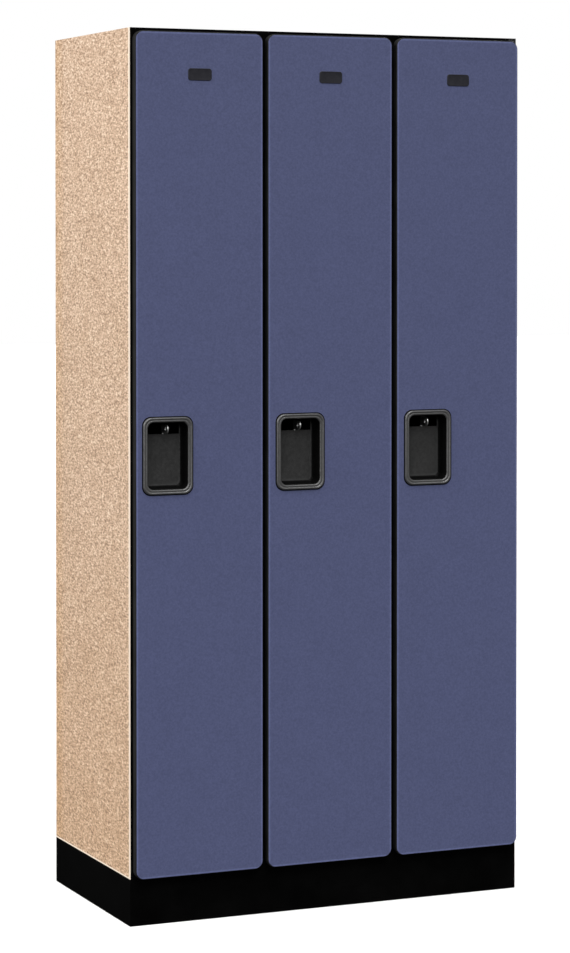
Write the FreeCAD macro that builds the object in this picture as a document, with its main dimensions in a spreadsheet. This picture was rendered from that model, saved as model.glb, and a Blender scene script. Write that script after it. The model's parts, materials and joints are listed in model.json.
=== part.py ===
import FreeCAD, Part
import os
import re
import Sketcher

# Locker cabinet, three lockers wide and one tier high: a black board carcass on a flush plinth, with
# a laminated left side and three laminate-faced doors that swing on hidden pivot hinges.
#
# Frame: millimetres, +Z up, doors facing -Y. The origin is on the floor, under the middle of the
# bounding box. Lockers are numbered from the left, and every door is hinged on its right edge.

Vector = FreeCAD.Vector
RIGHT = Vector(1, 0, 0)
LEFT = Vector(-1, 0, 0)
BACK = Vector(0, 1, 0)
FRONT = Vector(0, -1, 0)
UP = Vector(0, 0, 1)
DOWN = Vector(0, 0, -1)
TINY = 0.01
LEAST_CUT = 1.0
LOCKERS = (1, 2, 3)
PARTITIONS = (1, 2)
LEVELS = ("low", "middle", "high")

# Driving dimensions, written to the sheet as plain numbers.
SIZES = {
    # whole cabinet and its boards
    "width": 933.45,
    "height": 1930.4,
    "plinth_high": 101.6,
    "carcass_deep": 482.6,
    "board": 19.05,
    "back_thick": 6.35,
    "side_skin": 1.0,
    # door leaf and the reveals around it
    "door_thick": 19.05,
    "door_gap": 1.85,
    "end_reveal": 5.5,
    "free_reveal": 2.0,
    "hinge_reveal": 8.9,
    "low_reveal": 1.5,
    "top_reveal": 7.2,
    "overlay": 5.2,
    "door_corner": 19.0,
    "door_round": 2.0,
    "face_skin": 1.0,
    "face_inset": 2.0,
    # number plate
    "plate_wide": 54.6,
    "plate_tall": 26.0,
    "plate_thick": 1.5,
    "plate_corner": 6.0,
    "plate_drop": 91.5,
    # recessed pull; its middle is measured from the line on the locker's left
    "pull_wide": 118.0,
    "pull_tall": 170.0,
    "pull_corner": 20.0,
    "pull_offset": 79.0,
    "pull_middle": 1012.0,
    "bezel_rise": 4.5,
    "bezel_round": 3.5,
    "mouth_wide": 92.0,
    "mouth_tall": 141.0,
    "mouth_corner": 14.0,
    "cup_deep": 30.0,
    "cup_wall": 2.5,
    "cup_clear": 0.5,
    "window_wide": 76.0,
    "window_tall": 23.5,
    "window_drop": 2.0,
    # padlock eye: its depths are measured from the door's front face
    "eye_thick": 3.0,
    "eye_tall": 19.5,
    "eye_drop": 4.0,
    "eye_past": 2.5,
    "eye_front": 4.0,
    "eye_leg": 35.0,
    "eye_web": 38.0,
    "eye_hole": 4.8,
    "eye_hole_back": 14.5,
    "foot_deep": 42.0,
    "foot_tall": 26.0,
    "foot_drop": 6.0,
    # hinges: the pin's place is measured from the door's hinge edge and front face
    "pin_in": 6.5,
    "pin_back": 9.5,
    "pin_radius": 2.5,
    "pin_slack": 0.05,
    "hinge_end": 150.0,
    "notch_wide": 19.5,
    "notch_front": 5.0,
    "notch_tall": 36.4,
    "notch_play": 0.2,
    "ear": 2.0,
    "ear_edge": 1.5,
    "ear_back": 17.5,
    "leaf_thick": 1.5,
    "leaf_wide": 28.0,
    "knuckle_radius": 3.8,
    "arm_thick": 2.5,
    "arm_in": 14.5,
    "arm_front": 18.0,
    "arm_end": 62.0,
    "arm_tall": 31.0,
    "plate_front": 26.0,
    "plate_high": 46.0,
    # inside each locker
    "shelf_top": 1661.0,
    "shelf_deep": 440.0,
    "shelf_slack": 1.0,
    "rod_radius": 12.7,
    "rod_drop": 60.0,
    "socket_radius": 20.0,
    "socket_thick": 10.0,
    "socket_bore": 12.8,
    "socket_floor": 3.0,
    "peg_radius": 2.5,
    "peg_in": 8.0,
    "peg_out": 9.0,
    "peg_inset": 50.0,
    "hook_level": 1440.0,
    "hook_thick": 3.0,
    # fasteners and where they stand
    "head_radius": 4.0,
    "head_tall": 2.2,
    "shank_radius": 1.9,
    "long_screw": 44.0,
    "short_screw": 22.0,
    "stub_screw": 12.0,
    "hook_screw": 6.0,
    "board_screw_inset": 50.0,
    "back_screw_inset": 30.0,
    "arm_screw_inset": 9.0,
    "foot_screw_front": 15.0,
    "foot_screw_rear": 32.0,
    "hook_screw_rise": 18.0,
    "pull_screw_rise": 56.0,
    "leaf_screw_near": 9.8,
    "leaf_screw_far": 21.0,
    "bumper_radius": 4.5,
    "bumper_thick": 1.4,
    "bumper_in": 25.0,
    "bumper_inset": 8.5,
    "anchor_hole": 3.5,
    "gang_hole": 3.5,
    "gang_inset": 60.0,
    "gang_low": 400.0,
    "gang_high": 1600.0,
    "anchor_level": 1850.0,
    "cross_gap": 12.0,
    # how far a cutting shape runs past the surface that it opens
    "over": 1.0,
}

# Lengths and places that follow from the driving dimensions.
DERIVED = {
    "pitch": "width / 3",
    "west": "-width / 2",
    "east": "width / 2",
    "depth": "carcass_deep + door_gap + door_thick + bezel_rise",
    "rear": "depth / 2",
    "inner_rear": "rear - back_thick",
    "front": "rear - carcass_deep",
    "door_front": "front - door_gap - door_thick",
    "door_rear": "front - door_gap",
    "board_deep": "carcass_deep - back_thick",
    "carcass_tall": "height - plinth_high",
    "floor_top": "plinth_high + board",
    "door_low": "plinth_high + low_reveal",
    "door_tall": "height - top_reveal - door_low",
    "face_tall": "door_tall - 2 * face_inset",
    "pull_low": "pull_middle - pull_tall / 2",
    "mouth_top": "pull_middle + mouth_tall / 2",
    "eye_top": "mouth_top - eye_drop",
    "eye_low": "eye_top - eye_tall",
    "eye_middle": "eye_top - eye_tall / 2",
    "foot_low": "eye_low - foot_drop - foot_tall",
    "pin_y": "door_front + pin_back",
    "low_level": "door_low + hinge_end",
    "middle_level": "door_low + door_tall / 2",
    "high_level": "door_low + door_tall - hinge_end",
    "rod_level": "shelf_top - board - rod_drop",
    "rod_y": "(front + inner_rear) / 2",
}

WORD = re.compile(r"[a-z_]+")


def full(text):
    """The expression with each name replaced by its cell or by the lengths that it follows from."""
    def swap(match):
        word = match.group(0)
        if word in SIZES:
            return "dims." + word
        if word in DERIVED:
            return "(" + full(DERIVED[word]) + ")"
        return word
    return WORD.sub(swap, text)


doc = FreeCAD.newDocument("locker_cabinet")
sheet = doc.addObject("Spreadsheet::Sheet", "dims")
for row, (alias, number) in enumerate(SIZES.items(), 1):
    sheet.set(f"A{row}", alias)
    sheet.set(f"B{row}", str(number))
    sheet.setAlias(f"B{row}", alias)
doc.recompute()

sub_parts = []


def bind(obj, prop, text):
    obj.setExpression(prop, full(text))


def place(obj, corner):
    for axis, text in zip("xyz", corner):
        bind(obj, "Placement.Base." + axis, text)


def keep(obj, label):
    """Make obj one of the cabinet's sub-parts, under its own label."""
    obj.Label = label
    sub_parts.append(obj)
    return obj


# ---------------------------------------------------------------- building blocks

def box(name, size, corner):
    obj = doc.addObject("Part::Box", name)
    for prop, text in zip(("Length", "Width", "Height"), size):
        bind(obj, prop, text)
    place(obj, corner)
    return obj


def cylinder(name, radius, length, start, along):
    """A cylinder whose axis runs from start in the direction along."""
    obj = doc.addObject("Part::Cylinder", name)
    bind(obj, "Radius", radius)
    bind(obj, "Height", length)
    obj.Placement = FreeCAD.Placement(Vector(), FreeCAD.Rotation(UP, along))
    place(obj, start)
    return obj


def cone(name, radii, length, start, along):
    obj = doc.addObject("Part::Cone", name)
    bind(obj, "Radius1", radii[0])
    bind(obj, "Radius2", radii[1])
    bind(obj, "Height", length)
    obj.Placement = FreeCAD.Placement(Vector(), FreeCAD.Rotation(UP, along))
    place(obj, start)
    return obj


def fuse(name, shapes):
    obj = doc.addObject("Part::MultiFuse", name)
    obj.Shapes = shapes
    return obj


def group(name, members):
    """Separate solids of one kind, kept together as one sub-part."""
    obj = doc.addObject("Part::Compound", name)
    obj.Links = members
    return obj


def cut(name, base, tools):
    obj = doc.addObject("Part::Cut", name)
    obj.Base = base
    obj.Tool = tools[0] if len(tools) == 1 else group(name + "_tools", tools)
    return obj


def flush_screw(name, length, start, along):
    """A countersunk screw whose head lies flush with the surface at start."""
    head = cone(name + "_head", ("head_radius", "shank_radius"), "head_tall", start, along)
    shank = cylinder(name + "_shank", "shank_radius", length, start, along)
    return fuse(name, [head, shank])


def pan_screw(name, length, start, along):
    """A screw whose head stands on the surface at start."""
    head = cylinder(name + "_head", "head_radius", "head_tall", start, along * -1)
    shank = cylinder(name + "_shank", "shank_radius", length, start, along)
    return fuse(name, [head, shank])


def edge_names(shape, wanted):
    return [f"Edge{number}" for number, edge in enumerate(shape.Edges, 1) if wanted(edge)]


def ends(edge):
    return edge.Vertexes[0].Point, edge.Vertexes[-1].Point


def runs_back(edge):
    """True for a straight edge along Y, which is a corner of an upright panel."""
    first, last = ends(edge)
    return abs(first.x - last.x) < TINY and abs(first.z - last.z) < TINY and abs(first.y - last.y) > TINY


def runs_back_to(y):
    """A test for the straight edges along Y that end at local depth y."""
    return lambda edge: runs_back(edge) and abs(max(point.y for point in ends(edge)) - y) < TINY


def at_depth(y):
    """A test for the edges of the face at local depth y."""
    return lambda edge: all(abs(point.y - y) < TINY for point in ends(edge))


def new_body(name, corner):
    body = doc.addObject("PartDesign::Body", name)
    place(body, corner)
    return body


def rectangle(body, name, low, size, ahead="0"):
    """A rectangle on the body's upright plane, from its low corner, ahead of that plane."""
    sketch = body.newObject("Sketcher::SketchObject", name)
    plane = next(feature for feature in body.Origin.OriginFeatures if feature.Role == "XZ_Plane")
    sketch.AttachmentSupport = [(plane, "")]
    sketch.MapMode = "FlatFace"
    bind(sketch, "AttachmentOffset.Base.z", ahead)
    corners = (Vector(1, 1, 0), Vector(9, 1, 0), Vector(9, 9, 0), Vector(1, 9, 0))
    for index, corner in enumerate(corners):
        sketch.addGeometry(Part.LineSegment(corner, corners[(index + 1) % 4]), False)
    for index in range(4):
        sketch.addConstraint(Sketcher.Constraint("Coincident", index, 2, (index + 1) % 4, 1))
        direction = ("Horizontal", "Vertical")[index % 2]
        sketch.addConstraint(Sketcher.Constraint(direction, index))
    lengths = (
        ("low_x", Sketcher.Constraint("DistanceX", -1, 1, 0, 1, 1.0), low[0]),
        ("low_z", Sketcher.Constraint("DistanceY", -1, 1, 0, 1, 1.0), low[1]),
        ("size_x", Sketcher.Constraint("DistanceX", 0, 1, 0, 2, 8.0), size[0]),
        ("size_z", Sketcher.Constraint("DistanceY", 1, 1, 1, 2, 8.0), size[1]),
    )
    for label, constraint, text in lengths:
        index = sketch.addConstraint(constraint)
        sketch.renameConstraint(index, label)
        bind(sketch, "Constraints." + label, text)
    return sketch


def pad(body, sketch, length, backwards=True):
    feature = body.newObject("PartDesign::Pad", sketch.Name + "_pad")
    feature.Profile = sketch
    feature.Reversed = backwards
    bind(feature, "Length", length)
    body.Tip = feature
    doc.recompute()
    return feature


def pocket(body, sketch, length):
    before = body.Tip.Shape.Volume
    feature = body.newObject("PartDesign::Pocket", sketch.Name + "_pocket")
    feature.Profile = sketch
    bind(feature, "Length", length)
    body.Tip = feature
    doc.recompute()
    if feature.Shape.Volume > before - LEAST_CUT:
        raise RuntimeError(f"{feature.Name} removes nothing")
    return feature


def fillet(body, name, radius, wanted):
    base = body.Tip
    feature = body.newObject("PartDesign::Fillet", name)
    feature.Base = (base, edge_names(base.Shape, wanted))
    bind(feature, "Radius", radius)
    body.Tip = feature
    doc.recompute()
    return feature


# ---------------------------------------------------------------- places that depend on the locker

def door_left(number):
    """X of a door's free edge."""
    return "west + end_reveal" if number == 1 else f"west + {number - 1} * pitch + free_reveal"


def door_right(number):
    """X of a door's hinge edge."""
    return "east - end_reveal" if number == 3 else f"west + {number} * pitch - hinge_reveal"


def door_wide(number):
    return f"({door_right(number)}) - ({door_left(number)})"


def partition_left(number):
    """X of the left face of the partition behind a door's hinge edge."""
    return f"{door_right(number)} - overlay"


def space_left(number):
    """X of the wall on the left of a locker's inside."""
    return "west + board" if number == 1 else f"{partition_left(number - 1)} + board"


def space_right(number):
    return "east - board" if number == 3 else partition_left(number)


def space_wide(number):
    return f"({space_right(number)}) - ({space_left(number)})"


def pull_x(number):
    """X of the middle of a door's pull."""
    return f"west + {number - 1} * pitch + pull_offset"


def eye_left(number):
    """X of the left face of a padlock eye's plate."""
    return f"{pull_x(number)} + eye_past - eye_thick / 2"


# ---------------------------------------------------------------- fasteners that the boards are drilled for

def carcass_screws():
    """Screws through the top, the floor and the two sides into the boards that they meet."""
    screws = []
    rows = ("front + board_screw_inset", "(front + inner_rear) / 2", "inner_rear - board_screw_inset")
    for row, y in enumerate(rows):
        for number in PARTITIONS:
            x = f"{partition_left(number)} + board / 2"
            screws.append(flush_screw(f"top_screw_{number}_{row}", "long_screw", (x, y, "height"), DOWN))
            bottom = (x, y, "plinth_high")
            screws.append(flush_screw(f"floor_screw_{number}_{row}", "long_screw", bottom, UP))
        for place_name, z in (("top", "height - board / 2"), ("floor", "plinth_high + board / 2")):
            start_left = ("west + side_skin", y, z)
            screws.append(flush_screw(f"left_{place_name}_screw_{row}", "long_screw", start_left, RIGHT))
            start_right = ("east", y, z)
            screws.append(flush_screw(f"right_{place_name}_screw_{row}", "long_screw", start_right, LEFT))
    return keep(group("carcass_screws", screws), "carcass_screws")


def back_screws():
    """Screws along each upright, through the back panel."""
    columns = ["west + (board + side_skin) / 2", "east - board / 2"]
    columns += [f"{partition_left(number)} + board / 2" for number in PARTITIONS]
    gaps = 6
    run = "(carcass_tall - 2 * board - 2 * back_screw_inset)"
    screws = []
    for column, x in enumerate(columns):
        for row in range(gaps + 1):
            z = f"floor_top + back_screw_inset + {row} * {run} / {gaps}"
            screws.append(flush_screw(f"back_screw_{column}_{row}", "short_screw", (x, "rear", z), FRONT))
    return keep(group("back_screws", screws), "back_screws")


def shelf_pegs():
    """Four pegs under each hat shelf, pushed into the walls."""
    pegs = []
    for number in LOCKERS:
        for side, wall, along in (("left", space_left(number), RIGHT), ("right", space_right(number), LEFT)):
            inward = "-" if side == "left" else "+"
            for end, y in (("front", "inner_rear - shelf_deep + peg_inset"),
                           ("rear", "inner_rear - peg_inset")):
                start = (f"{wall} {inward} peg_in", y, "shelf_top - board - peg_radius")
                name = f"peg_{number}_{side}_{end}"
                pegs.append(cylinder(name, "peg_radius", "peg_in + peg_out", start, along))
    return keep(group("shelf_pegs", pegs), "shelf_pegs")


def hinge_plate_screws():
    """Two screws through each hinge arm and its plate, into the wall."""
    screws = []
    for number in LOCKERS:
        for level in LEVELS:
            for end, y in (("front", "door_front + plate_front + arm_screw_inset"),
                           ("rear", "door_front + arm_end - arm_screw_inset")):
                start = (f"{door_right(number)} - arm_in - arm_thick", y, f"{level}_level")
                screws.append(pan_screw(f"arm_screw_{number}_{level}_{end}", "short_screw", start, RIGHT))
    return keep(group("hinge_arm_screws", screws), "hinge_arm_screws")


def eye_screws():
    """Two screws through the foot of each padlock eye, into the left wall."""
    screws = []
    for number in LOCKERS:
        for end in ("front", "rear"):
            start = (f"{space_left(number)} + eye_thick", f"door_front + eye_web + foot_screw_{end}",
                     "foot_low + foot_tall / 2")
            screws.append(pan_screw(f"eye_screw_{number}_{end}", "stub_screw", start, LEFT))
    return keep(group("padlock_eye_screws", screws), "padlock_eye_screws")


def hook_screws():
    """One screw above and one below each hook's arm, into the back panel."""
    screws = []
    for number in LOCKERS:
        middle = f"{space_left(number)} + ({space_wide(number)}) / 2"
        for end, sign in (("upper", "+"), ("lower", "-")):
            start = (middle, "inner_rear - hook_thick", f"hook_level {sign} hook_screw_rise")
            screws.append(pan_screw(f"hook_screw_{number}_{end}", "hook_screw", start, BACK))
    return keep(group("coat_hook_screws", screws), "coat_hook_screws")


# ---------------------------------------------------------------- plinth and carcass

def plinth():
    """Four boards flush with the carcass, and a cross board under each partition."""
    size = ("width", "board", "plinth_high")
    keep(box("plinth_front", size, ("west", "front", "0")), "plinth_front")
    keep(box("plinth_back", size, ("west", "rear - board", "0")), "plinth_back")
    between = ("board", "carcass_deep - 2 * board", "plinth_high")
    keep(box("plinth_left", between, ("west", "front + board", "0")), "plinth_left")
    keep(box("plinth_right", between, ("east - board", "front + board", "0")), "plinth_right")
    cross = ("board", "carcass_deep - 2 * board", "plinth_high - cross_gap")
    for number in PARTITIONS:
        corner = (partition_left(number), "front + board", "0")
        keep(box(f"plinth_cross_{number}", cross, corner), f"plinth_cross_{number}")


def carcass(screws, back, pegs, arms, eyes, hooks):
    level = ("width - 2 * board", "board_deep", "board")
    floor = box("floor_blank", level, ("west + board", "front", "plinth_high"))
    keep(cut("floor_panel", floor, [screws]), "floor_panel")
    top = box("top_blank", level, ("west + board", "front", "height - board"))
    keep(cut("top_panel", top, [screws]), "top_panel")

    left_size = ("board - side_skin", "board_deep", "carcass_tall")
    left = box("left_blank", left_size, ("west + side_skin", "front", "plinth_high"))
    keep(cut("left_side", left, [screws, back, pegs, eyes]), "left_side")
    skin_size = ("side_skin", "carcass_deep", "carcass_tall")
    keep(box("left_side_laminate", skin_size, ("west", "front", "plinth_high")), "left_side_laminate")

    right_size = ("board", "board_deep", "carcass_tall")
    right = box("right_blank", right_size, ("east - board", "front", "plinth_high"))
    holes = []
    for end, y in (("front", "front + gang_inset"), ("rear", "inner_rear - gang_inset")):
        for rise in ("gang_low", "gang_high"):
            start = ("east - board - over", y, rise)
            holes.append(cylinder(f"{rise}_{end}_hole", "gang_hole", "board + 2 * over", start, RIGHT))
    keep(cut("right_side", right, [screws, back, pegs, arms] + holes), "right_side")

    upright = ("board", "board_deep", "carcass_tall - 2 * board")
    for number in PARTITIONS:
        blank = box(f"partition_blank_{number}", upright, (partition_left(number), "front", "floor_top"))
        drilled = cut(f"partition_{number}", blank, [screws, back, pegs, arms, eyes])
        keep(drilled, f"partition_{number}")

    back_size = ("width - side_skin", "back_thick", "carcass_tall")
    blank = box("back_blank", back_size, ("west + side_skin", "inner_rear", "plinth_high"))
    holes = []
    for number in (1, 3):
        start = (f"west + {number - 0.5} * pitch", "inner_rear - over", "anchor_level")
        holes.append(cylinder(f"anchor_hole_{number}", "anchor_hole", "back_thick + 2 * over", start, BACK))
    keep(cut("back_panel", blank, [back, hooks] + holes), "back_panel")


# ---------------------------------------------------------------- inside each locker

def inside(number):
    wide = space_wide(number)
    shelf_size = (f"{wide} - 2 * shelf_slack", "shelf_deep", "board")
    shelf_corner = (f"{space_left(number)} + shelf_slack", "inner_rear - shelf_deep", "shelf_top - board")
    keep(box(f"hat_shelf_{number}", shelf_size, shelf_corner), f"hat_shelf_{number}")

    rod_start = (f"{space_left(number)} + socket_floor", "rod_y", "rod_level")
    rod = cylinder(f"coat_rod_{number}", "rod_radius", f"{wide} - 2 * socket_floor", rod_start, RIGHT)
    keep(rod, f"coat_rod_{number}")

    coat_hook(number)


def rod_sockets():
    """A round cup on each wall that a coat rod's end sits in."""
    sockets = []
    for number in LOCKERS:
        for side, wall, along, inward in (("left", space_left(number), RIGHT, "+"),
                                          ("right", space_right(number), LEFT, "-")):
            name = f"socket_{number}_{side}"
            disc_start = (wall, "rod_y", "rod_level")
            disc = cylinder(name + "_disc", "socket_radius", "socket_thick", disc_start, along)
            bore_start = (f"{wall} {inward} socket_floor", "rod_y", "rod_level")
            bore = cylinder(name + "_bore", "socket_bore", "socket_thick", bore_start, along)
            sockets.append(cut(name, disc, [bore]))
    keep(group("rod_sockets", sockets), "rod_sockets")


def coat_hook(number):
    """A plate with an arm that comes forward and turns up to a ball."""
    thick = sheet.get("hook_thick")
    plate_size = (20, thick, 56)
    plate_round = 2.0
    wire_radius = 3.5
    bend = 14.0
    reach = 24.0
    rise = 12.0
    ball_radius = 5.5
    plate = Part.makeBox(*plate_size, Vector(-plate_size[0] / 2, -thick, -plate_size[2] / 2))
    plate = plate.makeFillet(plate_round, [edge for edge in plate.Edges if runs_back(edge)])
    out = Vector(0, -reach, 0)
    slant = bend * (1 - 0.5 ** 0.5)
    middle = Vector(0, -reach - bend * 0.5 ** 0.5, slant)
    turned = Vector(0, -reach - bend, bend)
    tip = turned + Vector(0, 0, rise)
    path = Part.Wire([
        Part.makeLine(Vector(0, -1, 0), out),
        Part.Arc(out, middle, turned).toShape(),
        Part.makeLine(turned, tip),
    ])
    profile = Part.Wire([Part.makeCircle(wire_radius, Vector(0, -1, 0), BACK)])
    arm = path.makePipeShell([profile], True, True)
    ball = Part.makeSphere(ball_radius, tip)
    solid = plate.fuse([arm, ball])
    for sign in (-1, 1):
        start = Vector(0, -2 * thick, sign * sheet.get("hook_screw_rise"))
        solid = solid.cut(Part.makeCylinder(sheet.get("shank_radius"), 3 * thick, start, BACK))
    hook = doc.addObject("Part::Feature", f"coat_hook_{number}")
    hook.Shape = solid.removeSplitter()
    place(hook, (f"{space_left(number)} + ({space_wide(number)}) / 2", "inner_rear", "hook_level"))
    keep(hook, f"coat_hook_{number}")


# ---------------------------------------------------------------- hinges and padlock eyes

def hinge_plates(screws):
    """A packing plate on the wall under each hinge arm."""
    plates = []
    for number in LOCKERS:
        for level in LEVELS:
            face = f"{door_right(number)} - arm_in"
            size = (f"{space_right(number)} - ({face})", "arm_end - plate_front", "plate_high")
            corner = (face, "door_front + plate_front", f"{level}_level - plate_high / 2")
            blank = box(f"plate_blank_{number}_{level}", size, corner)
            plates.append(cut(f"plate_{number}_{level}", blank, [screws]))
    keep(group("hinge_plates", plates), "hinge_plates")


def hinge_arms(screws):
    """A strap on each plate, with a neck that slants forward to a knuckle around the hinge pin."""
    arms = []
    for number in LOCKERS:
        pin_x = f"{door_right(number)} - pin_in"
        for level in LEVELS:
            name = f"arm_{number}_{level}"
            low = f"{level}_level - arm_tall / 2"
            knuckle = cylinder(name + "_knuckle", "knuckle_radius", "arm_tall", (pin_x, "pin_y", low), UP)
            neck_length = "(arm_in + arm_thick / 2 - pin_in) * sqrt(2)"
            neck_corner = (f"{pin_x} + arm_thick / 2 * sqrt(0.5)", "pin_y + arm_thick / 2 * sqrt(0.5)", low)
            neck = box(name + "_neck", (neck_length, "arm_thick", "arm_tall"), neck_corner)
            neck.Placement.Rotation = FreeCAD.Rotation(UP, 135)
            strap_size = ("arm_thick", "arm_end - arm_front", "arm_tall")
            strap_corner = (f"{door_right(number)} - arm_in - arm_thick", "door_front + arm_front", low)
            strap = box(name + "_strap", strap_size, strap_corner)
            blank = fuse(name + "_blank", [knuckle, neck, strap])
            start = (pin_x, "pin_y", f"{low} - over")
            bore = cylinder(name + "_bore", "pin_radius + pin_slack", "arm_tall + 2 * over", start, UP)
            arms.append(cut(name, blank, [bore, screws]))
    keep(group("hinge_arms", arms), "hinge_arms")


def padlock_eye(number, screws):
    """A bent strap: an upright eye in the door's pull, a leg and web behind it, and a foot on the wall."""
    left = eye_left(number)
    wall = space_left(number)
    web_y = "door_front + eye_web"
    plate = box(f"eye_plate_{number}", ("eye_thick", "eye_web + eye_thick - eye_front", "eye_tall"),
                (left, "door_front + eye_front", "eye_low"))
    leg = box(f"eye_leg_{number}", ("eye_thick", "eye_web + eye_thick - eye_leg", "eye_top - foot_low"),
              (left, "door_front + eye_leg", "foot_low"))
    web = box(f"eye_web_{number}", (f"{left} + eye_thick - ({wall})", "eye_thick", "foot_tall"),
              (wall, web_y, "foot_low"))
    foot = box(f"eye_foot_{number}", ("eye_thick", "foot_deep", "foot_tall"), (wall, web_y, "foot_low"))
    blank = fuse(f"eye_blank_{number}", [plate, leg, web, foot])
    start = (f"{left} - eye_thick", "door_front + eye_hole_back", "eye_middle")
    hole = cylinder(f"eye_hole_{number}", "eye_hole", "3 * eye_thick", start, RIGHT)
    keep(cut(f"padlock_eye_{number}", blank, [hole, screws]), f"padlock_eye_{number}")


# ---------------------------------------------------------------- doors

def door_screws(number):
    """The screws behind a door: four into the pull's flange and two through each hinge leaf."""
    screws = []
    for side in ("-", "+"):
        for level in ("-", "+"):
            x = f"{pull_x(number)} {side} (pull_wide + mouth_wide + 2 * cup_wall) / 4"
            z = f"pull_middle {level} pull_screw_rise"
            name = f"pull_screw_{number}_{len(screws)}"
            screws.append(pan_screw(name, "door_thick + bezel_rise / 2", (x, "door_rear", z), FRONT))
    for level in LEVELS:
        for end in ("near", "far"):
            x = f"{door_right(number)} - notch_wide - leaf_screw_{end}"
            start = (x, "door_rear + leaf_thick", f"{level}_level")
            screws.append(pan_screw(f"leaf_screw_{number}_{level}_{end}", "stub_screw", start, FRONT))
    return keep(group(f"door_{number}_screws", screws), f"door_{number}_screws")


def pull_hole(body, name, origin, thick, number):
    """The hole that the pull's cup drops into, cut in a body whose corner is at origin."""
    size = ("mouth_wide + 2 * (cup_wall + cup_clear)", "mouth_tall + 2 * (cup_wall + cup_clear)")
    low = (f"{pull_x(number)} - ({origin[0]}) - ({size[0]}) / 2",
           f"pull_middle - ({origin[1]}) - ({size[1]}) / 2")
    pocket(body, rectangle(body, name, low, size), thick)


def door_panel(number, screws):
    """The door's black core: rounded corners and edges, a hole for the pull and three hinge notches."""
    body = new_body(f"core_{number}", (door_left(number), "door_front + face_skin", "door_low"))
    thick = "door_thick - face_skin"
    outline = rectangle(body, f"core_outline_{number}", ("0", "0"), (door_wide(number), "door_tall"))
    pad(body, outline, thick)
    fillet(body, f"core_corners_{number}", "door_corner", runs_back)
    fillet(body, f"core_front_edge_{number}", "door_round", at_depth(0))
    thickness = sheet.get("door_thick") - sheet.get("face_skin")
    fillet(body, f"core_rear_edge_{number}", "door_round", at_depth(thickness))
    pull_hole(body, f"core_hole_{number}", (door_left(number), "door_low"), thick, number)
    notches = []
    for level in LEVELS:
        corner = (f"{door_right(number)} - notch_wide", "door_front + notch_front",
                  f"{level}_level - notch_tall / 2")
        size = ("notch_wide + over", "door_thick", "notch_tall")
        notches.append(box(f"notch_{number}_{level}", size, corner))
    keep(cut(f"door_{number}_panel", body, notches + [screws]), f"door_{number}_panel")


def door_face(number, screws):
    """The coloured laminate on the front of a door, just inside the black edge."""
    corner = (f"{door_left(number)} + face_inset", "door_front", "door_low + face_inset")
    body = new_body(f"face_{number}", corner)
    face_wide = f"{door_wide(number)} - 2 * face_inset"
    outline = rectangle(body, f"face_outline_{number}", ("0", "0"), (face_wide, "face_tall"))
    pad(body, outline, "face_skin")
    fillet(body, f"face_corners_{number}", "door_corner - face_inset", runs_back)
    pull_hole(body, f"face_hole_{number}", (corner[0], corner[2]), "face_skin", number)
    keep(cut(f"door_{number}_face", body, [screws]), f"door_{number}_face")


def number_plate(number):
    corner = (f"({door_left(number)} + {door_right(number)}) / 2 - plate_wide / 2", "door_front",
              "door_low + door_tall - plate_drop - plate_tall / 2")
    body = new_body(f"plate_body_{number}", corner)
    outline = rectangle(body, f"plate_outline_{number}", ("0", "0"), ("plate_wide", "plate_tall"))
    pad(body, outline, "plate_thick", backwards=False)
    fillet(body, f"plate_corners_{number}", "plate_corner", runs_back)
    keep(body, f"door_{number}_number_plate")


def pull_cup(number, screws):
    """A moulded cup with a raised bezel; the eye comes through the window in its back."""
    body = new_body(f"cup_{number}", (f"{pull_x(number)} - pull_wide / 2", "door_front", "pull_low"))
    flange = rectangle(body, f"flange_{number}", ("0", "0"), ("pull_wide", "pull_tall"))
    pad(body, flange, "bezel_rise", backwards=False)
    fillet(body, f"flange_corners_{number}", "pull_corner", runs_back)
    fillet(body, f"bezel_round_{number}", "bezel_round", at_depth(-sheet.get("bezel_rise")))
    shell_low = ("(pull_wide - mouth_wide) / 2 - cup_wall", "(pull_tall - mouth_tall) / 2 - cup_wall")
    shell_size = ("mouth_wide + 2 * cup_wall", "mouth_tall + 2 * cup_wall")
    pad(body, rectangle(body, f"shell_{number}", shell_low, shell_size), "cup_deep + cup_wall")
    mouth_low = ("(pull_wide - mouth_wide) / 2", "(pull_tall - mouth_tall) / 2")
    mouth = rectangle(body, f"mouth_{number}", mouth_low, ("mouth_wide", "mouth_tall"), "bezel_rise")
    pocket(body, mouth, "bezel_rise + cup_deep")
    floor = sheet.get("cup_deep")
    rear = floor + sheet.get("cup_wall")
    fillet(body, f"mouth_corners_{number}", "mouth_corner", runs_back_to(floor))
    fillet(body, f"shell_corners_{number}", "mouth_corner + cup_wall", runs_back_to(rear))
    window_low = ("(pull_wide - window_wide) / 2",
                  "(pull_tall + mouth_tall) / 2 - window_drop - window_tall")
    window_size = ("window_wide", "window_tall")
    window = rectangle(body, f"window_{number}", window_low, window_size, "over - cup_deep")
    pocket(body, window, "cup_wall + 2 * over")
    keep(cut(f"door_{number}_pull", body, [screws]), f"door_{number}_pull")


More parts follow.
